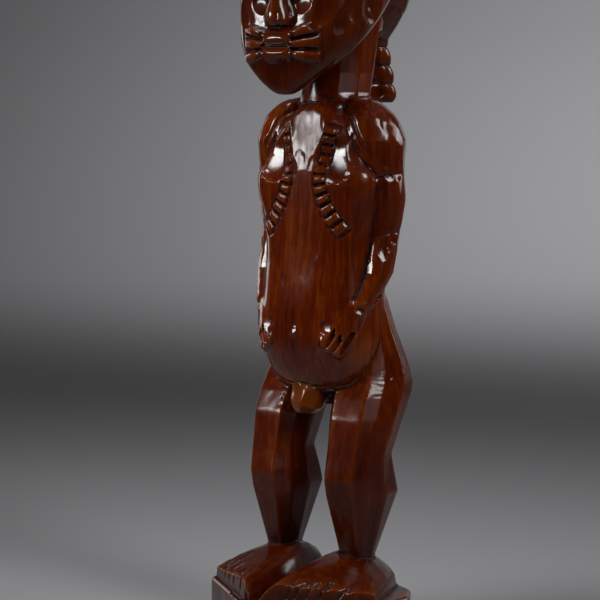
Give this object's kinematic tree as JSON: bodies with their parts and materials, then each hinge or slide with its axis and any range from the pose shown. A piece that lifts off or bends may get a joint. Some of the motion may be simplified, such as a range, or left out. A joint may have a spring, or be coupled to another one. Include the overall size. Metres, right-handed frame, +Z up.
{
  "type": "spirit spouse figure",
  "caption": "Standing carved-wood figure with hands on the belly, bent legs, hair plaited behind the neck and a low faceted base, cut from one block.",
  "frame": {"origin": "centre of the base's flat underside", "axes": "+Z up; the figure faces -Y; +X is the figure's own left"},
  "size_m": [0.121, 0.1313, 0.425],
  "materials": {
    "polished_wood": "deep red-brown, rubbed to a high gloss"
  },
  "bodies": {
    "root": {"spirit_spouse_figure": "polished_wood"}
  },
  "joints": []
}
